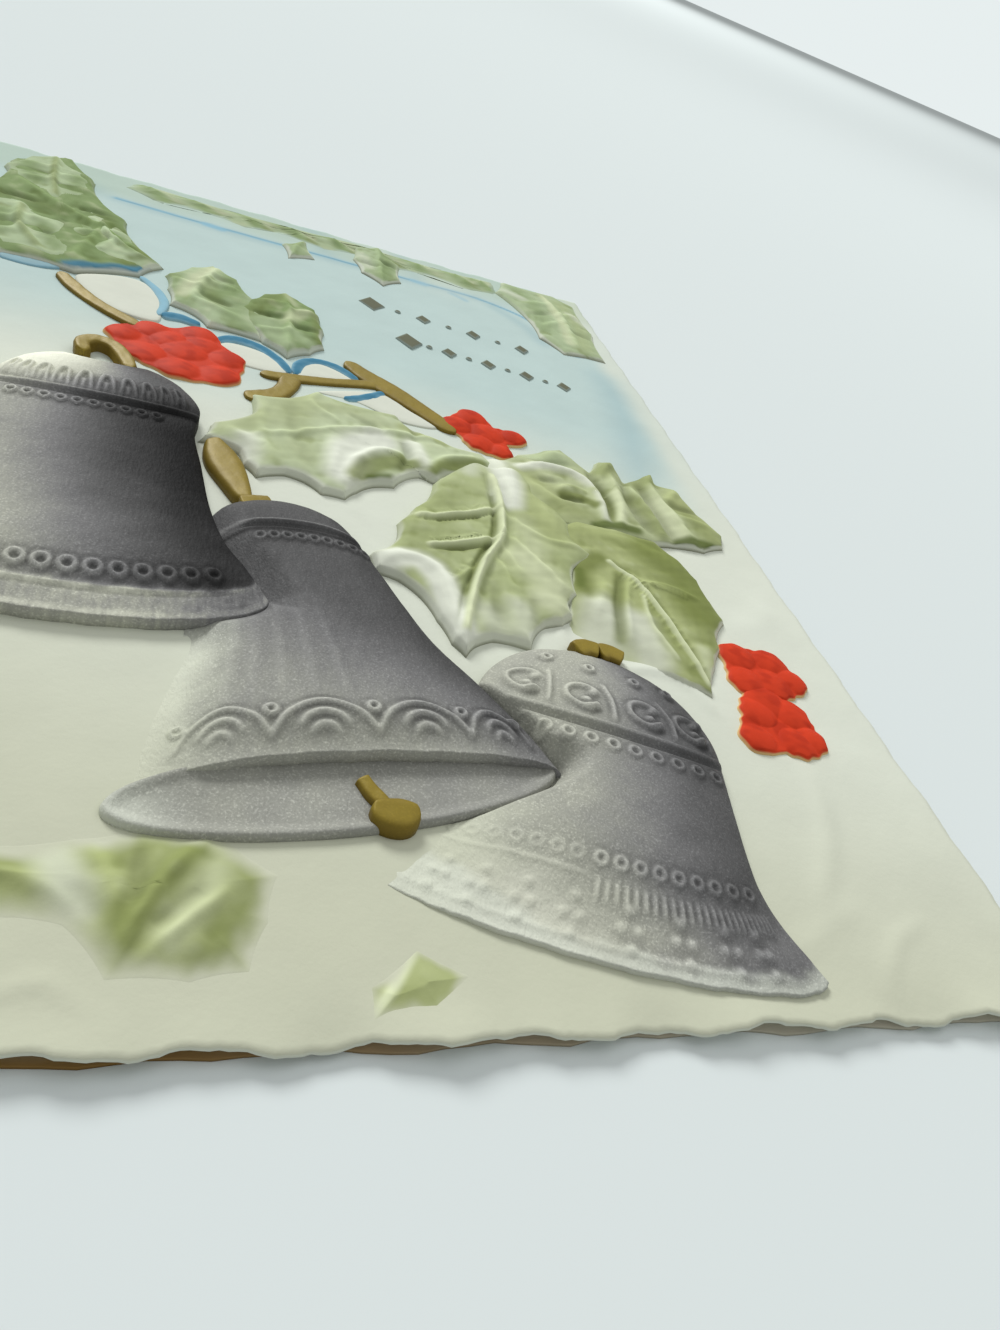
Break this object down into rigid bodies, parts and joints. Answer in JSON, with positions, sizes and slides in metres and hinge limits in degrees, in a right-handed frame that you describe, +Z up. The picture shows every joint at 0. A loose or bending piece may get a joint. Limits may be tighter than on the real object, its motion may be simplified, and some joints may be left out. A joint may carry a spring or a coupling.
{
  "type": "greeting card",
  "caption": "Deep-embossed paper greeting card with bells, holly leaves and berries in relief on a flat backing sheet.",
  "frame": {"origin": "centre of the flat underside of the card", "axes": "+X to the card's right, +Y to its top edge, +Z up out of the picture"},
  "size_m": [0.102, 0.1399, 0.0041],
  "materials": {
    "paper": "uncoated cream card, matt, slightly fibrous",
    "silver_ink": "grey metallic ink with a fine sparkle",
    "gold_ink": "ochre metallic ink, satin",
    "green_ink": "olive printing ink, matt",
    "red_ink": "orange-red printing ink, satin",
    "blue_ink": "pale blue printing ink, matt"
  },
  "bodies": {
    "root": {"card": "paper"}
  },
  "joints": []
}
